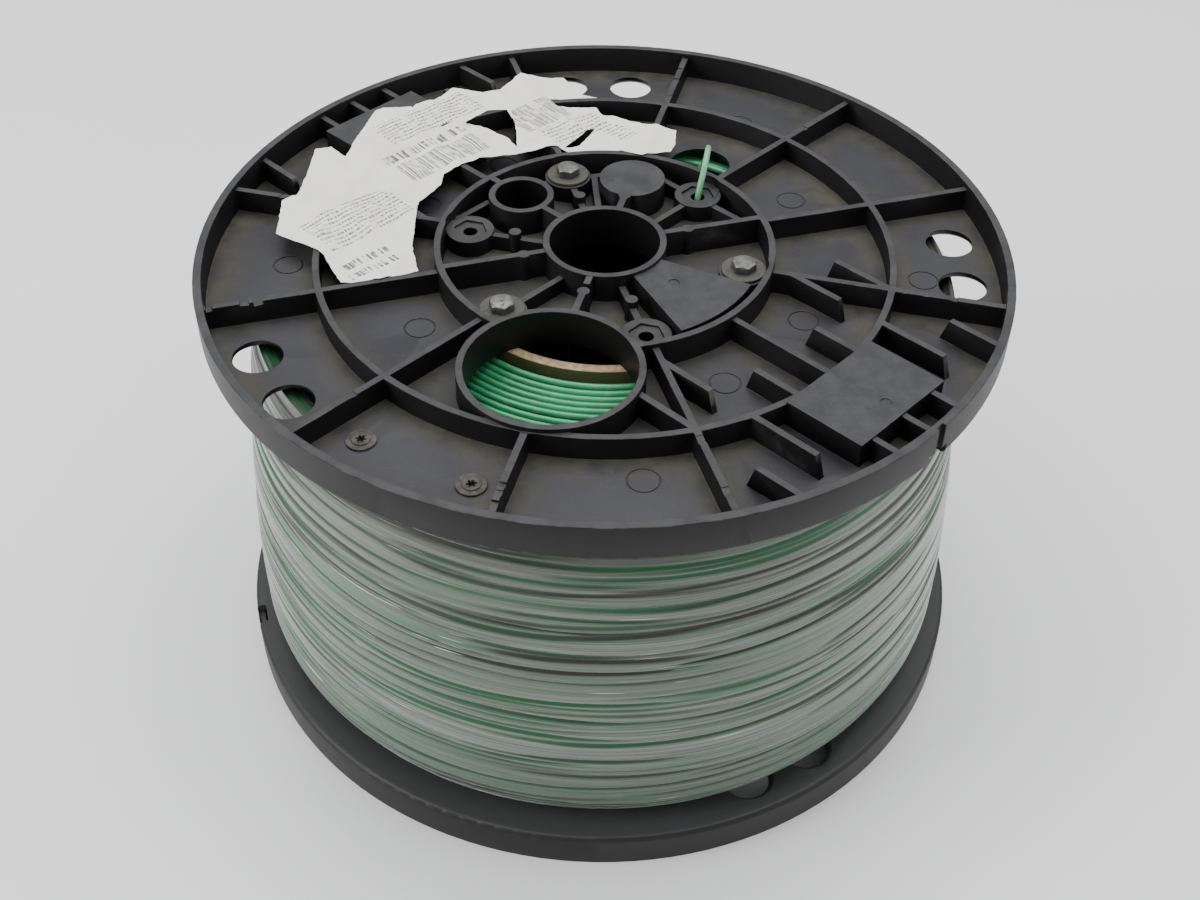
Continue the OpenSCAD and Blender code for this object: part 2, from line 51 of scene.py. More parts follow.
# ---------------------------------------------------------------- Camera
# It stands about 0.94 m from the reel and looks down on it at 42 degrees, with a trace of
# roll, as a hand-held camera has.
camera_at = Vector((0.0, -0.6440, 0.6895))
camera_pan, camera_tilt, camera_roll = -0.0014, 0.7414, 0.0144
camera_round_reel = math.radians(-0.6)
camera_lens, sensor_width = 46.42, 36.0

ahead = Vector((math.sin(camera_pan) * math.cos(camera_tilt),
                math.cos(camera_pan) * math.cos(camera_tilt), -math.sin(camera_tilt)))
level = Vector((math.cos(camera_pan), -math.sin(camera_pan), 0.0))
upward = level.cross(ahead)
side = math.cos(camera_roll) * level + math.sin(camera_roll) * upward
over = math.cos(camera_roll) * upward - math.sin(camera_roll) * level


def in_scene(name, data):
    """A new object in the scene with this mesh, curve, lamp or camera as its data."""
    made = bpy.data.objects.new(name, data)
    bpy.context.scene.collection.objects.link(made)
    return made


camera = in_scene("camera", bpy.data.cameras.new("camera"))
camera.data.sensor_width = sensor_width
camera.data.lens = camera_lens
camera.matrix_world = (Matrix.Rotation(camera_round_reel, 4, "Z") @ Matrix.Translation(camera_at)
                       @ Matrix((side, over, -ahead)).transposed().to_4x4())
bpy.context.scene.camera = camera


# ---------------------------------------------------------------- Wire tail
# The wire's inner end: solid copper in a green jacket, 3.3 mm thick. It leaves the innermost
# turn, comes up through the start hole, bends over the hub ring and is pushed into a nut pocket.
class Term:
    """A node's socket that works in a sum like a number: each operator adds its Math node."""

    def __init__(self, socket):
        self.socket = socket

    def math(self, operation, *terms):
        """One Math node of the terms or numbers given."""
        return Nodes(self.socket.id_data).node("ShaderNodeMath", {"operation": operation},
                                               dict(enumerate(terms)))

    def __add__(self, other):
        return self.math("ADD", self, other)

    def __radd__(self, other):
        return self.math("ADD", other, self)

    def __sub__(self, other):
        return self.math("SUBTRACT", self, other)

    def __rsub__(self, other):
        return self.math("SUBTRACT", other, self)

    def __mul__(self, other):
        return self.math("MULTIPLY", self, other)

    def __rmul__(self, other):
        return self.math("MULTIPLY", other, self)

    def __truediv__(self, other):
        return self.math("DIVIDE", self, other)

    def __pow__(self, other):
        return self.math("POWER", self, other)

    def __abs__(self):
        return self.math("ABSOLUTE", self)

    def __lt__(self, other):
        return self.math("LESS_THAN", self, other)

    def __gt__(self, other):
        return self.math("GREATER_THAN", self, other)


class Nodes:
    """Adds nodes to a tree. Settings are set first, then each socket gets its value or its link."""

    def __init__(self, tree):
        self.tree = tree

    def node(self, kind, settings=None, sockets=None, out=0):
        made = self.tree.nodes.new(kind)
        for key, value in (settings or {}).items():
            setattr(made, key, value)
        for key, value in (sockets or {}).items():
            if isinstance(value, Term):
                self.tree.links.new(value.socket, made.inputs[key])
            else:
                made.inputs[key].default_value = value
        return Term(made.outputs[out])


class Finish(Nodes):
    """A material with one Principled shader, and the patterns that its finish is mixed from. The
    shader's sockets are keywords, with _ for each space: fixed ones here, changing ones in feed."""

    def __init__(self, name, **fixed):
        self.material = bpy.data.materials.new(name)
        self.material.use_nodes = True
        super().__init__(self.material.node_tree)
        self.shader = self.tree.nodes["Principled BSDF"]
        self.place = self.node("ShaderNodeTexCoord", out="Object")
        for key, value in fixed.items():
            self.shader.inputs[key.replace("_", " ")].default_value = value

    def feed(self, **terms):
        for key, term in terms.items():
            self.tree.links.new(term.socket, self.shader.inputs[key.replace("_", " ")])
        return self

    def noise(self, scale, detail=3.0, stretch=(1, 1, 1), rough=0.5, at=None):
        """Noise by the place on the piece, or at another place, finer where stretch is larger."""
        where = self.node("ShaderNodeMapping", None, {"Vector": at or self.place, "Scale": stretch})
        return self.node("ShaderNodeTexNoise", None,
                         {"Vector": where, "Scale": scale, "Detail": detail, "Roughness": rough})

    def step(self, term, low, high):
        """0 below low, 1 above high and smooth between them."""
        return self.node("ShaderNodeMapRange", {"interpolation_type": "SMOOTHSTEP"},
                         {"Value": term, "From Min": low, "From Max": high})

    def mix(self, share, first, second):
        """The first colour where share is 0 and the second where it is 1."""
        made = self.tree.nodes.new("ShaderNodeMix")
        made.data_type = "RGBA"
        factor, from_colour, to_colour = made.inputs[0], made.inputs[6], made.inputs[7]
        for socket, value in ((factor, share), (from_colour, first), (to_colour, second)):
            if isinstance(value, Term):
                self.tree.links.new(value.socket, socket)
            else:
                socket.default_value = (*value, 1.0) if isinstance(value, tuple) else value
        return Term(made.outputs[2])

    def bump(self, height, distance, strength=1.0):
        return self.node("ShaderNodeBump", None,
                         {"Height": height, "Distance": distance, "Strength": strength})

    def facing_up(self):
        """1 on a level top, 0 on an upright wall and -1 on an underside."""
        return self.split(self.node("ShaderNodeNewGeometry", out="Normal"))[2]

    def split(self, vector=None):
        """The x, y and z of a vector."""
        made = self.node("ShaderNodeSeparateXYZ", None, {"Vector": vector or self.place})
        return [Term(made.socket.node.outputs[axis]) for axis in range(3)]


def wire_jacket(name, tint=(0.046, 0.36, 0.152)):
    """Extruded green jacket: satin, with faint drawing marks along it and a little dust."""
    jacket = Finish(name, Specular_IOR_Level=0.45, Coat_Roughness=0.25)
    cloud = jacket.noise(55, 3)
    dust = jacket.step(jacket.noise(140, 4), 0.52, 0.80)
    darker = tuple(0.80 * c for c in tint)
    dusty = tuple(0.6 * c + 0.4 * d for c, d in zip(tint, (0.42, 0.47, 0.42)))
    colour = jacket.mix(jacket.step(cloud, 0.35, 0.65), darker, tint)
    colour = jacket.mix(dust * 0.45, colour, dusty)
    return jacket.feed(Base_Color=colour, Roughness=0.30 + dust * 0.22, Coat_Weight=0.25 + cloud * 0.2,
                       Normal=jacket.bump(jacket.noise(420, 2), 0.00015, 0.35)).material


wire_d = 3.3 * MM
tail_route = [(-17.2, 81.2, 218.1), (-13.7, 81.9, 218.2), (-7, 83, 219.2), (1, 84.6, 220.2),
              (10, 86.2, 220.6), (20, 88.2, 220.6), (30, 90, 220.4), (39, 91.2, 220.4),
              (46, 91.6, 221.8), (51.5, 91.5, 225.6), (54.8, 90.8, 231), (56, 89, 237.5),
              (56.2, 85, 243.5), (55.8, 79.5, 248), (55, 72.5, 250.3), (53.8, 65.5, 249),
              (52.3, 59.5, 245.3), (50.6, 54.6, 240), (49.5, 51.9, 234), (49.3, 51.1, 227),
              (49.3, 51.1, 220.5)]

tail_curve = bpy.data.curves.new("wire_tail_end", "CURVE")
tail_curve.dimensions = "3D"
tail_curve.bevel_depth = wire_d / 2
tail_curve.bevel_resolution = 5
tail_curve.resolution_u = 8
tail_curve.use_fill_caps = True
tail_line = tail_curve.splines.new("BEZIER")
tail_line.bezier_points.add(len(tail_route) - 1)
for knot, point in zip(tail_line.bezier_points, tail_route):
    knot.co = Vector(point) * MM
    knot.handle_left_type = knot.handle_right_type = "AUTO"
wire_tail = in_scene("wire_tail_end", tail_curve)
tail_curve.materials.append(wire_jacket("wire_jacket_tail", (0.13, 0.40, 0.20)))
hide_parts("wire_tail")
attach(wire_tail, "root")


# ---------------------------------------------------------------- Bottom flange
# One injection moulding of black plastic: a plate with a rim, rings and ribs on its outer side.
# The reel stands on its rim. Edges are broken by 0.4 mm, as a worn moulding's are.
weld_gap, flat_enough, sharp_edge = 2e-6, math.radians(0.1), math.radians(35)
room_per_width = 2.2


def rounded_copy(node, name, width, nicks=None, round_rim=(0, 0)):
    """A copy of a CAD node's mesh, joined up, nicked where it is worn, and with rounded edges."""
    piece = in_scene(name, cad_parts[node].data.copy())
    piece.data.materials.clear()
    work = bmesh.new()
    work.from_mesh(piece.data)
    bmesh.ops.remove_doubles(work, verts=work.verts, dist=weld_gap)
    bmesh.ops.dissolve_limit(work, angle_limit=flat_enough, verts=work.verts, edges=work.edges)
    work.to_mesh(piece.data)
    if nicks:
        chip = piece.modifiers.new("chip", "BOOLEAN")
        chip.object = nicks
        chip.solver = "EXACT"
        settle(piece)
        bpy.data.objects.remove(nicks)
        work.clear()
        work.from_mesh(piece.data)
    weigh_sharp_edges(work, width, round_rim)
    work.to_mesh(piece.data)
    work.free()
    rounding = piece.modifiers.new("rounding", "BEVEL")
    rounding.width = width
    rounding.segments = 2
    rounding.limit_method = "WEIGHT"
    rounding.use_clamp_overlap = False
    settle(piece, smooth=20)
    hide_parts(node)
    return piece


def weigh_sharp_edges(work, width, round_rim):
    """Gives each sharp edge the share of the rounding's width that it has room for. The rim is
    round already between the two heights of round_rim."""
    share = work.edges.layers.float.new("bevel_weight_edge")
    for edge in work.edges:
        middle = (edge.verts[0].co + edge.verts[1].co) / 2
        on_rim = middle.xy.length > rim_round_r and round_rim[0] < middle.z < round_rim[1]
        if edge.calc_face_angle(0) > sharp_edge and not on_rim:
            edge[share] = min(1.0, room_beside(edge) / (room_per_width * width))


def room_beside(edge):
    """Length of the shortest edge that turns off at either end, so that no rounding passes it."""
    line = (edge.verts[1].co - edge.verts[0].co).normalized()
    straight_on = 0.94
    turning = [1.0]
    for other in set(edge.verts[0].link_edges) | set(edge.verts[1].link_edges):
        way = (other.verts[1].co - other.verts[0].co).normalized()
        if abs(line.dot(way)) < straight_on:
            turning.append(other.calc_length())
    return min(turning)


def finished_mesh(piece):
    """A piece's mesh, or a path's, as its modifiers make it."""
    bpy.context.view_layer.update()
    return bpy.data.meshes.new_from_object(piece.evaluated_get(bpy.context.evaluated_depsgraph_get()))


def settle(piece, smooth=30):
    """Applies a piece's modifiers and shades it smooth, but for edges of over smooth degrees."""
    made = finished_mesh(piece)
    piece.modifiers.clear()
    piece.data = made
    made.name = piece.name
    made.shade_smooth()
    made.set_sharp_from_angle(angle=math.radians(smooth))


bottom_face, top_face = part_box("drum_tube")[0].z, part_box("drum_tube")[1].z
plate_t, flange_edge = 4.7 * MM, 0.40 * MM
rim_round_r, rim_round = 200.6 * MM, 3.1 * MM
rib_rings = (0.0841, 0.1443, 0.1990)
first_rib, rib_step = math.radians(16), math.radians(30)


def flange_plastic(name, floor_z, up, inner_face, rim_face):
    """Black plastic, satin and bluish where it is bare. Olive dust lies in the corners at the ribs'
    feet. The plate's floor lies at floor_z, and up is 1 if the outer side faces up and -1 if down.
    inner_face and rim_face are the colours of the side that faces the winding and of the rim."""
    plastic = Finish(name, Specular_IOR_Level=0.25)
    x, y, z = plastic.split()
    facing = plastic.facing_up() * up
    # How far a place lies from the foot of the nearest radial rib or ring.
    radius = (x * x + y * y) ** 0.5
    turns = (y.math("ARCTAN2", y, x) - first_rib) / rib_step
    foot = turns.math("PINGPONG", turns, 0.5) * rib_step * radius
    for ring in rib_rings:
        foot = foot.math("MINIMUM", foot, abs(radius - ring))
    # The masks: level tops, the plate's floor, dusty corners, broken edges and the rim's wall.
    outward = plastic.step(facing, 0.55, 0.95)
    deep = 1 - plastic.step((z - floor_z) * up, 0.002, 0.012)
    cloud = plastic.noise(13, 4, rough=0.55)
    mottle = plastic.noise(75, 5, rough=0.65)
    speck = plastic.noise(1100, 2)
    corner = 1 - plastic.step(foot + (mottle - 0.5) * 0.014 + (cloud - 0.5) * 0.03, 0.001, 0.022)
    dust = outward * deep * (0.12 + corner * 0.88) * plastic.step(mottle, 0.22, 0.62)
    edge = plastic.step(facing, 0.18, 0.45) * (1 - plastic.step(facing, 0.80, 0.97))
    rim = plastic.step(radius, 0.2012, 0.2020) * (1 - outward)
    # The tones of the plastic's sides: the bottom flange's inner_face holds painted light and the top
    # flange's rim_face painted shade. Then the olive dust on it.
    colour = plastic.mix(rim, inner_face, rim_face)
    bare = plastic.mix(plastic.step(cloud, 0.25, 0.78), (0.026, 0.026, 0.032), (0.038, 0.038, 0.046))
    worn_top = plastic.mix(plastic.step(mottle, 0.3, 0.7), (0.026, 0.026, 0.029), (0.045, 0.045, 0.047))
    colour = plastic.mix(outward, colour, plastic.mix(deep, worn_top, bare))
    olive = plastic.mix(mottle, (0.034, 0.033, 0.024), (0.078, 0.075, 0.057))
    colour = plastic.mix(dust, colour, olive)
    # Rubbed edges, long scratches and pale specks over everything.
    rubbed = edge * plastic.step(mottle, 0.42, 0.66)
    colour = plastic.mix(rubbed * 0.75, colour, (0.105, 0.098, 0.092))
    rub = plastic.noise(30, 2, stretch=(1, 14, 4))
    scratch = plastic.step(rub, 0.690, 0.696) * (1 - plastic.step(rub, 0.696, 0.705))
    colour = plastic.mix(scratch * outward * 0.22, colour, (0.16, 0.16, 0.165))
    colour = plastic.mix(plastic.step(speck, 0.66, 0.74) * outward * 0.30, colour, (0.13, 0.126, 0.115))
    grain = plastic.noise(1500, 2) * 0.35 + mottle * 0.5 + dust * 0.2
    return plastic.feed(Base_Color=colour, Roughness=0.37 + mottle * 0.10 + dust * 0.22 + corner * 0.04,
                        Normal=plastic.bump(grain, 0.00022, 0.55)).material


bottom_flange = rounded_copy("bottom_flange", "bottom_flange_moulding", flange_edge,
                             round_rim=(bottom_face - rim_round, bottom_face))
# The side facing the winding is pale grey: partly settled dust, partly painted light where light from the
# front falls on it.
bottom_flange.data.materials.append(flange_plastic("bottom_flange_plastic", bottom_face - plate_t, -1,
                                                   (0.044, 0.044, 0.045), (0.017, 0.016, 0.016)))
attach(bottom_flange, "root")


# ---------------------------------------------------------------- Drum
# A tube of spiral-wound paper fibre, clamped between the flanges. The cut edge shows its plies,
# and the wall is stained where the wire rubs on it.
def fibre():
    """Brown paper fibre, olive where the wire rubs on the wall, with painted shade darkening the bore."""
    board = Finish("drum_fibreboard", Specular_IOR_Level=0.2)
    x, y, _ = board.split()
    radius = (x * x + y * y) ** 0.5
    plies = board.node("ShaderNodeTexNoise", {"noise_dimensions": "1D"},
                       {"W": radius, "Scale": 2600.0, "Detail": 2.0})
    fibres = board.noise(420, 4, stretch=(1, 1, 5))
    stain = board.step(board.noise(28, 4), 0.45, 0.75)
    colour = board.mix(board.step(fibres, 0.3, 0.7), (0.30, 0.20, 0.115), (0.50, 0.37, 0.24))
    colour = board.mix(board.step(plies, 0.45, 0.70) * 0.45, colour, (0.24, 0.155, 0.085))
    colour = board.mix(stain * 0.30, colour, (0.20, 0.14, 0.085))
    rubbed = board.step(radius, drum_r - 0.5 * MM, drum_r - 0.2 * MM)
    colour = board.mix(rubbed * 0.9, colour, (0.060, 0.075, 0.028))
    # Painted shade: the bore and the cut edge next to it are painted near black.
    bore_shade = 1 - board.step(radius, drum_bore - 0.1 * MM, drum_bore + 0.9 * MM)
    colour = board.mix(bore_shade, colour, (0.030, 0.025, 0.019))
    return board.feed(Base_Color=colour, Roughness=0.80 + fibres * 0.12,
                      Normal=board.bump(fibres + plies, 0.0005, 0.6)).material


drum_r, drum_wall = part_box("drum_tube")[1].x, 5.8 * MM
drum_bore = drum_r - drum_wall
drum = rounded_copy("drum_tube", "fibre_drum", 0.25 * MM)
drum.data.materials.append(fibre())
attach(drum, "root")


# ---------------------------------------------------------------- Winding
# More than a kilometre of wire, laid turn beside turn. Against the top flange the turns step down
# from the drum to a valley and rise again to the outer layer, which the film holds.
traverse = top_face - bottom_face
wound_r, top_slack, foot_tuck = 194 * MM, 16.6 * MM, 11 * MM
slack_from, tuck_to = 0.2, 0.1
wire_r = wire_d / 2


def wound_radius(z):
    """Radius of the wrapped winding at a height: it shrinks towards both flanges."""
    share = (z - bottom_face) / traverse
    return (wound_r - top_slack * np.maximum(0, (share - slack_from) / (1 - slack_from)) ** 1.6
            - foot_tuck * np.maximum(0, 1 - share / tuck_to) ** 2)


def covered_radius(z):
    """The smallest wrapped radius over a wire's height, so that the wire stays under the film."""
    return float(min(wound_radius(z - wire_r), wound_radius(z + wire_r)))


def drift(seed, x, y=0.0, z=0.0):
    """Smooth noise from -1 to 1, the same in every run."""
    return noise.noise(Vector((x + 17.3 * seed, y - 9.1 * seed, z + 4.7 * seed)))


class Inputs:
    """A Geometry Nodes tree with named inputs, put on a piece or a path as a modifier."""

    def __init__(self, name, **kinds):
        self.tree = bpy.data.node_groups.new(name, "GeometryNodeTree")
        faces = self.tree.interface
        faces.new_socket("Geometry", in_out="INPUT", socket_type="NodeSocketGeometry")
        for key, kind in kinds.items():
            faces.new_socket(key, in_out="INPUT", socket_type="NodeSocket" + kind)
        faces.new_socket("Geometry", in_out="OUTPUT", socket_type="NodeSocketGeometry")
        self.start = self.tree.nodes.new("NodeGroupInput")

    def given(self, name):
        return Term(self.start.outputs[name])

    def end(self, geometry):
        """Realizes the instances, sets the material and closes the tree."""
        nodes = Nodes(self.tree)
        real = nodes.node("GeometryNodeRealizeInstances", None, {"Geometry": geometry})
        finished = nodes.node("GeometryNodeSetMaterial", None,
                              {"Geometry": real, "Material": self.given("Material")})
        last = self.tree.nodes.new("NodeGroupOutput")
        self.tree.links.new(finished.socket, last.inputs[0])

    def put_on(self, piece, **values):
        made = piece.modifiers.new(self.tree.name, "NODES")
        made.node_group = self.tree
        for item in self.tree.interface.items_tree:
            if item.in_out == "INPUT" and item.name in values:
                made[item.identifier] = values[item.name]


laid_wire = Inputs("laid_wire", Radius="Float", Sides="Int", Material="Material")
wire_nodes = Nodes(laid_wire.tree)
wire_section = wire_nodes.node("GeometryNodeCurvePrimitiveCircle", None,
                               {"Resolution": laid_wire.given("Sides"),
                                "Radius": laid_wire.given("Radius")})
laid_wire.end(wire_nodes.node("GeometryNodeCurveToMesh", None,
                              {"Curve": laid_wire.given("Geometry"), "Profile Curve": wire_section,
                               "Fill Caps": True}))


def wire_on(name, runs, material, sides=10):
    """Wire of the real thickness along each run of points."""
    line = bpy.data.curves.new(name, "CURVE")
    line.dimensions = "3D"
    for points in runs:
        run = line.splines.new("POLY")
        run.points.add(len(points) - 1)
        run.points.foreach_set("co", np.column_stack([points, np.ones(len(points))]).ravel())
    path = in_scene(name + "_path", line)
    laid_wire.put_on(path, Radius=wire_r, Sides=sides, Material=material)
    wire = in_scene(name, finished_mesh(path))
    wire.data.name = name
    wire.data.shade_smooth()
    bpy.data.objects.remove(path)
    return wire


# The end turns follow the section of the winding's top: down the cone, through the valley, up to
# the outer layer. The line is walked at one wire's width a turn.
steps_a_turn = 72
first_r, first_z, first_az = 82.96 * MM, 218.1 * MM, math.radians(102)
valley_r, shoulder_r, shoulder_z = 139 * MM, 172 * MM, 212.5 * MM
cone_drop = math.tan(math.radians(14))
cone_sag = 4.6
turn_pitch, first_pitch = 3.34 * MM, 4.15 * MM
end_slack, slack_after = 0.55 * MM, 8 * MM
slack_round, slack_outward = 1.2, 420


def cone(r):
    """Height of the wire's middle on the slope that falls away from the drum."""
    out = r - first_r
    return first_z - out * cone_drop - cone_sag * out * out


def top_section(r):
    """Height of the wire's middle on the winding's top at a radius."""
    floor = cone(valley_r)
    share = min(max((r - valley_r) / (shoulder_r - valley_r), 0), 1)
    return cone(r) if r < valley_r else floor + (shoulder_z - floor) * (1 - (1 - share) ** 2)


def end_layer_points():
    """The middle of the end turns, which sway and lift a little where the slack lets them."""
    points, r, angle, small = [], first_r, first_az, 1e-4
    while r < shoulder_r:
        slope = (top_section(r + small) - top_section(r)) / small
        pitch = first_pitch if angle < first_az + 2 * math.pi else turn_pitch
        r += pitch / math.hypot(1, slope) / steps_a_turn
        angle += 2 * math.pi / steps_a_turn
        slack = end_slack * min(1, (r - first_r) / slack_after)
        spot = (slack_round * math.cos(angle), slack_round * math.sin(angle), slack_outward * r)
        sway, lift = slack * drift(1, *spot), slack * drift(2, *spot)
        points.append(((r + sway) * math.cos(angle), (r + sway) * math.sin(angle), top_section(r) + lift))
    return points


# Three loose turns bridge the valley just under the plate, where the start hole shows them.
loose_r, loose_pitch, loose_top = 121.2 * MM, 3.5 * MM, 219.3 * MM
loose_mid_az, loose_half, loose_steps = math.radians(58), 1.45, 90
loose_sway, loose_spread, loose_drop = 0.8 * MM, 2.5 * MM, 0.9 * MM


def loose_turn_points(k):
    """The middle of loose turn k, from the layer below, over the valley and back down to it."""
    r0 = loose_r + loose_pitch * k
    rest = top_section(r0) + wire_d
    points = []
    for angle in np.linspace(-loose_half, loose_half, loose_steps):
        bridge = math.cos(angle * math.pi / (2 * loose_half)) ** 1.2 if abs(angle) < loose_half else 0.0
        r = r0 + loose_sway * drift(60 + k, 2.2 * angle) + loose_spread * (1 - bridge)
        turn = loose_mid_az + angle
        points.append((r * math.cos(turn), r * math.sin(turn),
                       rest + (loose_top - loose_drop * k - rest) * bridge))
    return points


end_jacket = wire_jacket("wire_jacket_end")
end_layer = wire_on("end_layer_wire", [end_layer_points()] + [loose_turn_points(k) for k in range(3)],
                    end_jacket)
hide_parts("end_turns")
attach(end_layer, "root")

film_depth, turn_lay = 2.2 * MM, 3.4
outer_low, outer_high = bottom_face + 2.4 * MM, top_face - 12 * MM


def outer_layer_points():
    """The middle of the outer layer's turns, one even helix under the film."""
    steps = round((outer_high - outer_low) / (turn_lay * MM)) * steps_a_turn
    points = []
    for i in range(steps + 1):
        angle = 2 * math.pi * i / steps_a_turn
        z = outer_low + (outer_high - outer_low) * i / steps
        r = covered_radius(z) - film_depth - wire_r
        points.append((r * math.cos(angle), r * math.sin(angle), z))
    return points


outer_layer = wire_on("outer_layer_wire", [outer_layer_points()], wire_jacket("wire_jacket_outer"),
                      sides=8)
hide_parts("outer_turns")
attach(outer_layer, "root")


def piece_from(work, name):
    """A new object in the scene with the faces of a work mesh, which is then freed."""
    piece = in_scene(name, bpy.data.meshes.new(name))
    work.to_mesh(piece.data)
    work.free()
    return piece


def turned(name, profile, columns, material):
    """A solid of revolution about Z from its section's (radius, height) points."""
    work = bmesh.new()
    rows = []
    for column in range(columns):
        angle = 2 * math.pi * column / columns
        rows.append([work.verts.new((r * math.cos(angle), r * math.sin(angle), z)) for r, z in profile])
    count = len(profile)
    for column in range(columns):
        near, far = rows[column], rows[(column + 1) % columns]
        for k in range(count):
            work.faces.new((near[k], far[k], far[(k + 1) % count], near[(k + 1) % count]))
    bmesh.ops.recalc_face_normals(work, faces=work.faces)
    piece = piece_from(work, name)
    piece.data.materials.append(material)
    piece.data.shade_smooth()
    return piece


scallop, under_outer, under_end = 0.5 * MM, film_depth + 1.55 * wire_d, 2.1875 * wire_r
wall_points, top_points = 240, 160


def inner_layers_profile():
    """The layers under the outer ones, with a scallop for each turn."""
    inner, low, top = drum_r + 0.3 * MM, bottom_face + 0.7 * MM, shoulder_z - 4 * MM
    profile = [(inner, low)]
    for z in np.linspace(low, top, wall_points):
        bulge = scallop * abs(math.sin(math.pi * (z - low) / wire_d))
        profile.append((covered_radius(z) - under_outer + bulge, float(z)))
    for r in np.linspace(profile[-1][0] - 1 * MM, inner, top_points):
        bulge = scallop * abs(math.sin(math.pi * (r - inner) / wire_d))
        profile.append((float(r), top_section(float(r)) - under_end + bulge))
    return profile


inner_layers = turned("inner_wire_layers", inner_layers_profile(), 144,
                      wire_jacket("wire_jacket_inner"))
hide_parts("wire_core")
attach(inner_layers, "root")


# ---------------------------------------------------------------- Stretch film
# Clear polyethylene film pulled tight round the winding in many layers. It gathers into milky
# ridges, and the wire shows dark and green in the grooves between them.
film_columns, wall_rows, lip_rows, lining_step = 260, 250, 20, 10
film_angles = [2 * math.pi * i / film_columns for i in range(film_columns)]
film_relief, film_wall, film_gap = 1.5 * MM, 0.35 * MM, 0.6 * MM
furrow_sway, furrow_wander, furrow_half, first_furrow = 2.4, 1.9, 1.25, 1.5
lay_depth, furrow_shown = 0.10, 0.62
lip_r, lip_drop = 163 * MM, 6.8 * MM


def film_section():
    """The film's outer outline as (radius, height): up the winding and in over its shoulder."""
    points = [(float(wound_radius(z)), float(z))
              for z in np.linspace(bottom_face + film_gap, top_face - film_gap, wall_rows)]
    edge_r, edge_z = points[-1]
    for share in np.linspace(0, 1, lip_rows + 1)[1:]:
        points.append((edge_r + (lip_r - edge_r) * share, edge_z - lip_drop * share ** 1.5))
    return np.array(points)


def round_the_reel(seed, waves, along=0.0):
    """Drift round the reel, one value for each column of the film."""
    return np.array([drift(seed, waves * math.cos(a), waves * math.sin(a), along) for a in film_angles])


def folds(up):
    """For rows that lie up mm along the section: how deep each place is drawn in, 0 to 1, and how
    many mm all furrows sway there. Each furrow wanders, and fades in and out round the reel."""
    sway = np.array([furrow_sway * round_the_reel(3, 1.3, place / 45) for place in up])
    level = up[:, None] - sway
    depth = lay_depth * np.abs(np.sin(math.pi * level / turn_lay))
    chance = random.Random(7)
    place, number = first_furrow, 0
    while place < up[-1]:
        line = place + furrow_wander * round_the_reel(100 + number, 2.0)
        width = furrow_half + 1.1 * round_the_reel(200 + number, 3.0)
        shown = np.clip(furrow_shown + 1.7 * round_the_reel(300 + number, 1.7), 0, 1)
        shown *= chance.choice((0.5, 0.75, 1.0, 1.0))
        depth = np.maximum(depth, shown * np.exp(-((level - line) / width) ** 2))
        place += turn_lay * chance.choice((1, 1, 1, 1, 1, 2)) + chance.uniform(-0.9, 0.9)
        number += 1
    return depth, sway


def film_skin():
    """The furrowed skin and its smooth lining. It carries how deep each place is drawn in, as
    "fold", and how far up the section its furrow lies, as "run"."""
    section = film_section()
    steps = np.diff(section, axis=0)
    up = np.concatenate([[0], np.cumsum(np.hypot(steps[:, 0], steps[:, 1]))]) / MM
    slope = np.gradient(section, axis=0)
    inward = np.column_stack([-slope[:, 1], slope[:, 0]]) / np.hypot(slope[:, 0], slope[:, 1])[:, None]
    depth, sway = folds(up)
    work = bmesh.new()
    deep, runs = work.verts.layers.float.new("fold"), work.verts.layers.float.new("run")
    rows = []
    for k, (r, z) in enumerate(section):
        row = []
        for i, angle in enumerate(film_angles):
            sunk = film_relief * depth[k, i]
            out = r + inward[k, 0] * sunk
            height = z + inward[k, 1] * sunk
            vert = work.verts.new((out * math.cos(angle), out * math.sin(angle), height))
            vert[deep], vert[runs] = depth[k, i], (up[k] - sway[k, i]) * MM
            row.append(vert)
        rows.append(row)
    for k in range(len(section) - 1, -1, -lining_step):
        r, z = section[k] + inward[k] * (film_relief + film_wall)
        rows.append([work.verts.new((r * math.cos(a), r * math.sin(a), z)) for a in film_angles])
    for k, row in enumerate(rows):
        above = rows[(k + 1) % len(rows)]
        for i in range(film_columns):
            j = (i + 1) % film_columns
            work.faces.new((row[i], row[j], above[j], above[i]))
    bmesh.ops.recalc_face_normals(work, faces=work.faces)
    piece = piece_from(work, "stretch_film_wrap")
    piece.data.shade_smooth()
    return piece


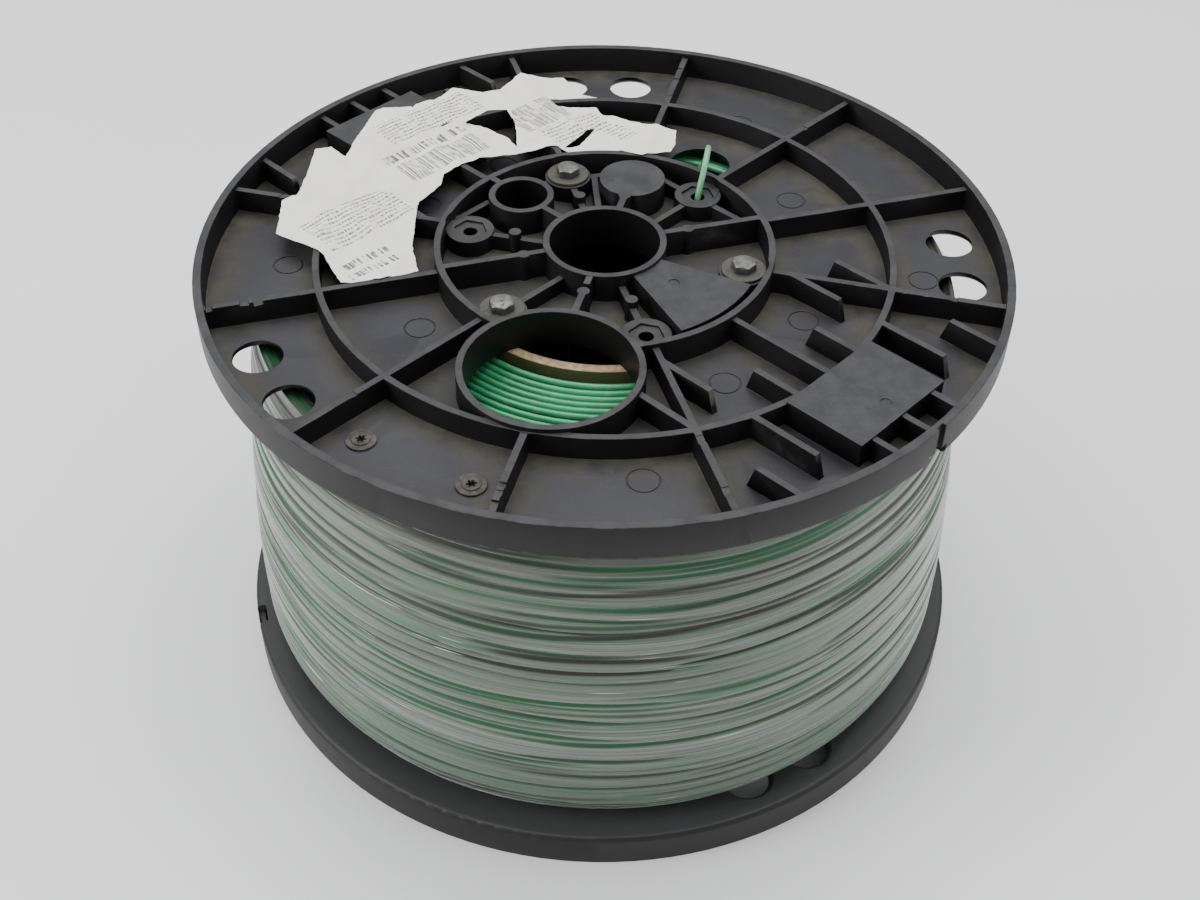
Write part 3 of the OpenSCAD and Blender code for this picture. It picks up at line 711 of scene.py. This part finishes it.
def film_finish():
    """Milky film with clear green and dark grooves, greener low down, and dark olive under the top
    flange, where the film hangs slack over the wire and the flange's shadow is painted in. Its streaks
    follow the furrows."""
    film = Finish("stretch_film_clear", Specular_IOR_Level=0.4, Coat_Roughness=0.20, Sheen_Weight=0.50,
                  Sheen_Roughness=0.30)
    depth = film.node("ShaderNodeAttribute", {"attribute_name": "fold"}, out="Fac")
    run = film.node("ShaderNodeAttribute", {"attribute_name": "run"}, out="Fac")
    x, y, z = film.split()
    laid = film.node("ShaderNodeCombineXYZ", None, {"X": x, "Y": y, "Z": run})

    def streaks(level, up, detail=3, rough=0.5):
        """Noise along the furrows, of so many waves a metre on the level and up the film."""
        return film.noise(1.0, detail, stretch=(level, level, up), rough=rough, at=laid)

    streak, fine = streaks(5, 260, rough=0.55), streaks(9, 1300, rough=0.6)
    band = film.step(streaks(3.5, 45), 0.40, 0.62)
    patch = film.step(streaks(4, 70), 0.42, 0.60)
    clear = film.step(streaks(5, 130), 0.55, 0.68)
    # How high up the winding a place is, and how much of a groove.
    share = (z - bottom_face) / traverse
    # Under the top flange the film is slack and the flange's shadow is painted in: darker, more grooved
    # and without glints.
    slack_and_flange_shadow = film.step(share, 0.66, 0.97)
    low = 1 - film.step(share, 0.05, 0.38)
    drawn_in = depth + (streak - 0.5) * 0.95 + (fine - 0.5) * 0.50 + slack_and_flange_shadow * 0.30
    groove = film.step(drawn_in, 0.18, 0.56)
    # Milky ridges with green bands and clear streaks, a dark olive tone under the top flange that is
    # partly painted shadow of the flange, and dark grooves between them.
    milky = film.mix(film.step(fine, 0.34, 0.66), (0.050, 0.070, 0.044), (0.215, 0.248, 0.198))
    milky = film.mix(band * 0.70, milky, (0.052, 0.096, 0.052))
    milky = film.mix(clear * 0.75, milky, (0.014, 0.125, 0.042))
    milky = film.mix(low * 0.75, milky, (0.022, 0.076, 0.038))
    milky = film.mix(slack_and_flange_shadow * 0.78, milky, (0.036, 0.037, 0.020))
    dark = film.mix(patch, (0.014, 0.016, 0.007), (0.007, 0.085, 0.028))
    colour = film.mix(groove, milky, dark)
    # Painted highlights: short white glints painted into the colour where the film is stretched hard.
    painted_glint = film.step(streaks(22, 1500, detail=2), 0.68, 0.73) * film.step(film.noise(11, 2), 0.48, 0.56)
    painted_glint = painted_glint * (1 - slack_and_flange_shadow)
    colour = film.mix(painted_glint * 0.85, colour, (0.70, 0.76, 0.68))
    crinkle = fine * 0.7 + film.noise(260, 3, stretch=(1, 1, 6)) * 0.35 + streak
    rough = 0.30 + groove * 0.12 + film.step(fine, 0.4, 0.6) * 0.12
    return film.feed(Base_Color=colour, Roughness=rough,
                     Coat_Weight=0.6 - groove * 0.4, Normal=film.bump(crinkle, 0.0010, 0.6)).material


film = film_skin()
film.data.materials.append(film_finish())
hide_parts("stretch_film")
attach(film, "root")


# ---------------------------------------------------------------- Top flange
# The same moulding as the bottom flange, with its outer side up: ribs, label pads, the round
# window, the drive hole and six bosses show.
rib_top, above_rim, block_width = 239.8, 244, 7
label_pad_az, knocked_az, front_az, bare_pad_az = 136, 196, 256, 316


def rib_blocks(spots):
    """Blocks on the radial ribs, each wider than the rib. A spot is (azimuth, inner and outer
    radius, depth, tilt), in mm and degrees, and the depth is what is lost of the rib's top."""
    work = bmesh.new()
    high = above_rim
    for azimuth, near, far, deep, tilt in spots:
        low = rib_top - deep
        place = (Matrix.Rotation(math.radians(azimuth), 4, "Z")
                 @ Matrix.Translation(Vector(((near + far) / 2, 0, (low + high) / 2)) * MM)
                 @ Matrix.Rotation(math.radians(tilt), 4, "Y")
                 @ Matrix.Diagonal(Vector((far - near, block_width, high - low)) * MM).to_4x4())
        bmesh.ops.create_cube(work, size=1.0, matrix=place)
    return piece_from(work, "knocks")


def knocked_spots():
    """Where the ribs' top edges are chipped: some worst places, and small ones along each rib."""
    spots = [(knocked_az, 171.5, 176, 2.4, 9), (knocked_az, 177.5, 181.8, 1.3, -6),
             (knocked_az, 195.2, 198.4, 1.6, 4), (front_az, 178, 181, 1.2, -12),
             (front_az, 184, 186.5, 0.9, 15), (front_az, 190, 196.5, 1.9, 9)]
    spared = (label_pad_az, knocked_az, front_az, bare_pad_az)
    chance = random.Random(5)
    for k in range(12):
        azimuth = math.degrees(first_rib + k * rib_step)
        for slot in range(148, 190, 11):
            near = slot + chance.uniform(0, 3)
            long, deep, tilt = chance.uniform(2, 6), chance.uniform(0.2, 0.9), chance.uniform(-14, 14)
            if round(azimuth) not in spared and chance.random() < 0.45:
                spots.append((azimuth, near, near + long, deep, tilt))
    return spots


top_flange = rounded_copy("top_flange", "top_flange_moulding", flange_edge,
                          nicks=rib_blocks(knocked_spots()),
                          round_rim=(top_face, top_face + rim_round))
# The rim's outer wall tone is darkened below the plastic's as painted shade on the side that faces away
# from the light above.
top_flange.data.materials.append(flange_plastic("top_flange_plastic", top_face + plate_t, 1,
                                                (0.0050, 0.0048, 0.0050), (0.0045, 0.0040, 0.0042)))
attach(top_flange, "root")


# ---------------------------------------------------------------- Plate rivets
# Two flat plastic rivets with a star-shaped drive, pressed into the plate near the rim.
def rivet_plastic():
    """Black plastic under grime."""
    dull = Finish("rivet_plastic", Specular_IOR_Level=0.3)
    grime = dull.step(dull.noise(300, 4), 0.35, 0.7)
    colour = dull.mix(grime, (0.030, 0.029, 0.024), (0.085, 0.080, 0.062))
    return dull.feed(Base_Color=colour, Roughness=0.45 + grime * 0.25,
                     Normal=dull.bump(dull.noise(900, 2), 0.0002, 0.4)).material


rivets = rounded_copy("plate_rivets", "star_rivets", 0.25 * MM)
rivets.data.materials.append(rivet_plastic())
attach(rivets, "root")


# ---------------------------------------------------------------- Bolts, washers and nuts
# Quarter-inch zinc-plated steel: three hex bolts through both flanges and the drum, a plain
# washer under each head and a flange nut in each pocket of the bottom flange.
def zinc(name, tone, stain, dust, shine):
    """Zinc plate: bright where shine is 1 and dull where it is low, stained, and with dust on top."""
    steel = Finish(name, Metallic=shine, Specular_IOR_Level=0.5)
    cloud = steel.noise(180, 4)
    spots = steel.step(steel.noise(420, 4), 0.46, 0.70)
    settled = steel.step(steel.facing_up(), 0.6, 0.95) * dust
    colour = steel.mix(steel.step(cloud, 0.3, 0.7), tuple(0.7 * c for c in tone), tone)
    colour = steel.mix(spots * stain, colour, (0.085, 0.080, 0.060))
    colour = steel.mix(settled, colour, (0.060, 0.058, 0.047))
    return steel.feed(Base_Color=colour, Roughness=0.33 + spots * 0.3 + cloud * 0.1 + settled * 0.15,
                      Normal=steel.bump(cloud + spots * 0.5, 0.0002, 0.5)).material


for node, name, width, tone, stain, dust, shine in (
        ("tie_bolts", "hex_tie_bolts", 0.35 * MM, (0.25, 0.25, 0.245), 0.45, 0.30, 1.0),
        ("head_washers", "plain_washers", 0.25 * MM, (0.10, 0.097, 0.080), 0.6, 0.85, 0.3),
        ("flange_nuts", "flanged_nuts", 0.25 * MM, (0.52, 0.53, 0.53), 0.5, 0.0, 1.0)):
    metal = rounded_copy(node, name, width)
    metal.data.materials.append(zinc(name + "_zinc", tone, stain, dust, shine))
    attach(metal, "root")


# ---------------------------------------------------------------- Paper labels
# Two paper labels, torn and creased. They lie on the label pad and the rib tops and sag a
# little between them. Their sizes, and those of what they lie on, are in mm.
rib_half = 1.75
pad_top, hub_top, reel_top = 240.8, 242.2, 242.8
ring_tops = [(142.5, 146.0, rib_top), (82.3, 85.8, hub_top), (199.0, 203.2, reel_top)]
pad_from, pad_to, pad_half = 142, 184, 31
pad_ribs = ((0, 85, 200), (22, 117, 200), (47.5, 82, 112), (47.5, 137, 173), (72, 91, 125),
            (72, 159, 200))
plain_ribs, hub_edge = (76, 106, 166, 196), 84


def beside(x, y, azimuth):
    """How far a place lies out along an azimuth, and how far beside it."""
    angle = math.radians(azimuth)
    return x * math.cos(angle) + y * math.sin(angle), y * math.cos(angle) - x * math.sin(angle)


def support(x, y):
    """Height in mm of what the paper can lie on at a place: rings, pad, ribs or the plate."""
    r = math.hypot(x, y)
    for inner, outer, top in ring_tops:
        if inner <= r <= outer:
            return top
    out, aside = beside(x, y, label_pad_az)
    if pad_from <= out <= pad_to and abs(aside) <= pad_half:
        return pad_top
    for rib, near, far in pad_ribs:
        if abs(abs(aside) - rib) < rib_half and near <= out <= far:
            return rib_top
    for azimuth in plain_ribs:
        out, aside = beside(x, y, azimuth)
        if abs(aside) < rib_half and out > hub_edge:
            return rib_top
    return (top_face + plate_t) / MM


def inside(point, outline):
    """Whether a point lies inside an outline, by the edges to its right."""
    hit = False
    for (x0, y0), (x1, y1) in zip(outline, outline[1:] + outline[:1]):
        if (y0 > point[1]) != (y1 > point[1]):
            hit ^= point[0] < (x1 - x0) * (point[1] - y0) / (y1 - y0) + x0
    return hit


def frayed(outline, seed, length=2.2, amount=0.55):
    """A torn edge: the outline cut into short pieces, each corner moved a little."""
    points = []
    for start, stop in zip(outline, outline[1:] + outline[:1]):
        a, b = Vector(start), Vector(stop)
        count = max(1, round((b - a).length / length))
        side = Vector((-(b - a).y, (b - a).x)).normalized()
        for k in range(count):
            wobble = 0 if k == 0 else amount * drift(seed, a.x + k * 3.1, a.y + k * 1.7)
            points.append(a.lerp(b, k / count) + side * wobble)
    return [tuple(p) for p in points]


paper_pitch, paper_t, settling_steps = 2.0, 0.16 * MM, 140


def cut_sheet(edge, holes, seed):
    """A flat sheet's points and triangles between its torn edge and its torn holes."""
    rims = [frayed(edge, seed)] + [frayed(hole, seed + 1) for hole in holes]
    points, edges = [], []
    for rim in rims:
        first = len(points)
        points += [Vector(p) for p in rim]
        edges += [(first + k, first + (k + 1) % len(rim)) for k in range(len(rim))]
    xs, ys = [p[0] for p in edge], [p[1] for p in edge]
    for i in range(int((max(xs) - min(xs)) / paper_pitch)):
        for j in range(int((max(ys) - min(ys)) / paper_pitch)):
            spot = (min(xs) + (i + 0.5 * (j % 2) + 0.5) * paper_pitch,
                    min(ys) + (j + 0.5) * paper_pitch)
            if inside(spot, rims[0]) and not any(inside(spot, hole) for hole in rims[1:]):
                points.append(Vector(spot))
    flat, _, faces, *_ = geometry.delaunay_2d_cdt(points, edges, [], 1, 1e-4)
    middles = [sum((flat[k] for k in f), Vector((0, 0))) / 3 for f in faces]
    return flat, [f for f, middle in zip(faces, middles)
                  if not any(inside(middle, hole) for hole in rims[1:])]


def let_down(flat, faces, lift, droop):
    """The height of each point once the sheet has sunk onto what lies under it. It starts at the
    pad's top, stays lift clear of what is below, and droop is what it sinks by in each step."""
    near = [set() for _ in flat]
    for f in faces:
        for k in range(3):
            near[f[k]].update((f[k - 1], f[k - 2]))
    neighbours = [np.array(sorted(n)) if n else np.array([k]) for k, n in enumerate(near)]
    base = np.array([support(p.x, p.y) for p in flat]) + lift
    height = np.full(len(flat), pad_top + lift)
    for _ in range(settling_steps):
        height = np.maximum(base, np.array([height[n].mean() for n in neighbours]) - droop)
    return height


def paper(name, edge, holes, lift, seed, droop, material):
    """A torn sheet with a real thickness, let down on the flange and crumpled upwards a little."""
    flat, faces = cut_sheet(edge, holes, seed)
    height = let_down(flat, faces, lift, droop)
    for k, p in enumerate(flat):
        crumple = 0.9 * drift(seed + 2, p.x / 9, p.y / 9) + 0.4 * drift(seed + 3, p.x / 3.6, p.y / 3.6)
        height[k] += max(0.0, crumple + 0.15)
    work = bmesh.new()
    verts = [work.verts.new((p.x * MM, p.y * MM, h * MM)) for p, h in zip(flat, height)]
    for f in faces:
        work.faces.new([verts[k] for k in f])
    bmesh.ops.recalc_face_normals(work, faces=work.faces)
    if sum(f.normal.z for f in work.faces) < 0:
        bmesh.ops.reverse_faces(work, faces=work.faces)
    piece = piece_from(work, name)
    wall = piece.modifiers.new("wall", "SOLIDIFY")
    wall.thickness = paper_t
    wall.offset = 1.0
    settle(piece, smooth=60)
    piece.data.materials.append(material)
    return piece


bar_scale, row_pitch = {"bars": 1.15, "line": 0.42}, 3.1


def printed_paper(name, turn, blocks):
    """Cream-white paper with rows of grey dashes and blocks of bars. turn is the direction of the
    rows, in degrees, and each block is (kind, left, low, right, high) in mm along and across them."""
    sheet = Finish(name, Specular_IOR_Level=0.25)
    turned_place = sheet.node("ShaderNodeMapping", {"vector_type": "TEXTURE"},
                              {"Vector": sheet.place, "Rotation": (0, 0, math.radians(turn)),
                               "Scale": (MM, MM, MM)})
    u, v, _ = sheet.split(turned_place)
    ink = None
    for kind, left, low, right, high in blocks:
        box = (u > left) * (u < right) * (v > low) * (v < high)
        if kind in bar_scale:
            mark = sheet.node("ShaderNodeTexNoise", {"noise_dimensions": "1D"},
                              {"W": u, "Scale": bar_scale[kind], "Detail": 2.0}) > 0.5
        else:
            line = v / row_pitch
            row = line.math("FRACT", line)
            dash = sheet.node("ShaderNodeTexNoise", {"noise_dimensions": "2D"},
                              {"Vector": sheet.node("ShaderNodeCombineXYZ", None,
                                                    {"X": u * 1.1, "Y": line - row}),
                               "Scale": 1.0, "Detail": 3.0})
            mark = (row > 0.35) * (row < 0.85) * (dash > 0.48)
        ink = box * mark if ink is None else ink + box * mark
    worn = sheet.step(sheet.noise(210, 4), 0.32, 0.52)
    stains = sheet.step(sheet.noise(38, 5, rough=0.6), 0.50, 0.80)
    fibres = sheet.noise(900, 3)
    colour = sheet.mix(stains * 0.35, (0.80, 0.785, 0.745), (0.52, 0.48, 0.41))
    colour = sheet.mix(ink * worn * 0.88, colour, (0.055, 0.055, 0.058))
    wrinkles = fibres * 0.3 + sheet.noise(90, 4) * 1.5
    return sheet.feed(Base_Color=colour, Roughness=0.62 + stains * 0.2,
                      Normal=sheet.bump(wrinkles, 0.0012, 0.6)).material


lower_edge = [(-109, 131), (-99, 113), (-86, 98), (-68, 80), (-73, 76), (-86, 66), (-87, 56),
              (-97, 38), (-97, 0), (-92, -21), (-110, -31), (-129, -31), (-140, -10), (-155, 2),
              (-167, 10), (-168, 38), (-161, 42), (-157, 87), (-149, 90), (-140, 80),
              (-129, 125), (-125, 129)]
upper_edge = [(-120, 104), (-107, 134), (-97, 140), (-87, 155), (-70, 153), (-60, 157), (-49, 172),
              (-38, 171), (-24, 172), (-13, 153), (-4, 149), (-27, 146), (-33, 144), (-26, 136),
              (-5, 139), (-1, 130), (5, 130), (21, 120), (40, 112), (39, 98), (36, 90), (28, 86),
              (20, 80), (3, 88), (-2, 90), (-20, 89), (-27, 93), (-55, 86), (-66, 84), (-78, 78)]
upper_tear = [(-78, 117), (-66, 130), (-55, 131), (-51, 122), (-49, 110), (-48, 95), (-53, 104),
              (-65, 113)]
upper_slit = [(-22, 92), (-10, 112), (-5, 115), (-14, 97)]

label_paper = printed_paper("label_paper", 43, [
    ("rows", -22, 144, 42, 166), ("line", -36, 131, 36, 138), ("bars", -34, 111, 18, 128),
    ("bars", 42, 106, 75, 131), ("rows", 46, 85, 85, 104), ("rows", 76, 67, 88, 84),
    ("rows", -104, 88, -52, 119), ("line", -107, 71, -80, 76), ("line", -110, 62, -82, 67)])
upper_label = paper("torn_label_upper", upper_edge, [upper_tear, upper_slit], lift=0.25, seed=21,
                    droop=0.028, material=label_paper)
lower_label = paper("torn_label_lower", lower_edge, [], lift=0.60, seed=31, droop=0.030,
                    material=label_paper)
for label, node in ((upper_label, "upper_label"), (lower_label, "lower_label")):
    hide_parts(node)
    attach(label, "root")


# ---------------------------------------------------------------- Studio
# A pale floor that the reel stands on, a pale room round it and soft light from above.
floor_mesh = bpy.data.meshes.new("floor")
floor_half = 6.0
floor_mesh.from_pydata([(-floor_half, -floor_half, 0), (floor_half, -floor_half, 0),
                        (floor_half, floor_half, 0), (-floor_half, floor_half, 0)], [], [(0, 1, 2, 3)])
floor = in_scene("floor", floor_mesh)
board = Finish("floor_board", Specular_IOR_Level=0.4, Roughness=0.32)
board_tone = board.mix(board.noise(3, 2), (0.83, 0.83, 0.84), (0.87, 0.87, 0.88))
floor_mesh.materials.append(board.feed(Base_Color=board_tone).material)


lamp_aim = Vector((0, 0, 0.1))


def lamp(name, at, size, watts):
    """A soft rectangular lamp that shines on the reel."""
    light = bpy.data.lights.new(name, "AREA")
    light.shape = "RECTANGLE"
    light.size, light.size_y = size
    light.energy = watts
    made = in_scene(name, light)
    made.location = at
    made.rotation_euler = (lamp_aim - Vector(at)).to_track_quat("-Z", "Y").to_euler()


lamp("ceiling", (0.1, 0.5, 1.9), (2.2, 1.6), 41)
lamp("window_side", (-1.7, -0.5, 1.0), (1.0, 1.0), 28)
lamp("far_side", (1.7, -0.3, 0.9), (1.0, 1.0), 9)
room = bpy.data.worlds.new("room")
room.use_nodes = True
sky = room.node_tree.nodes["Background"]
sky.inputs["Color"].default_value = (0.97, 0.98, 1.0, 1.0)
sky.inputs["Strength"].default_value = 0.77
bpy.context.scene.world = room
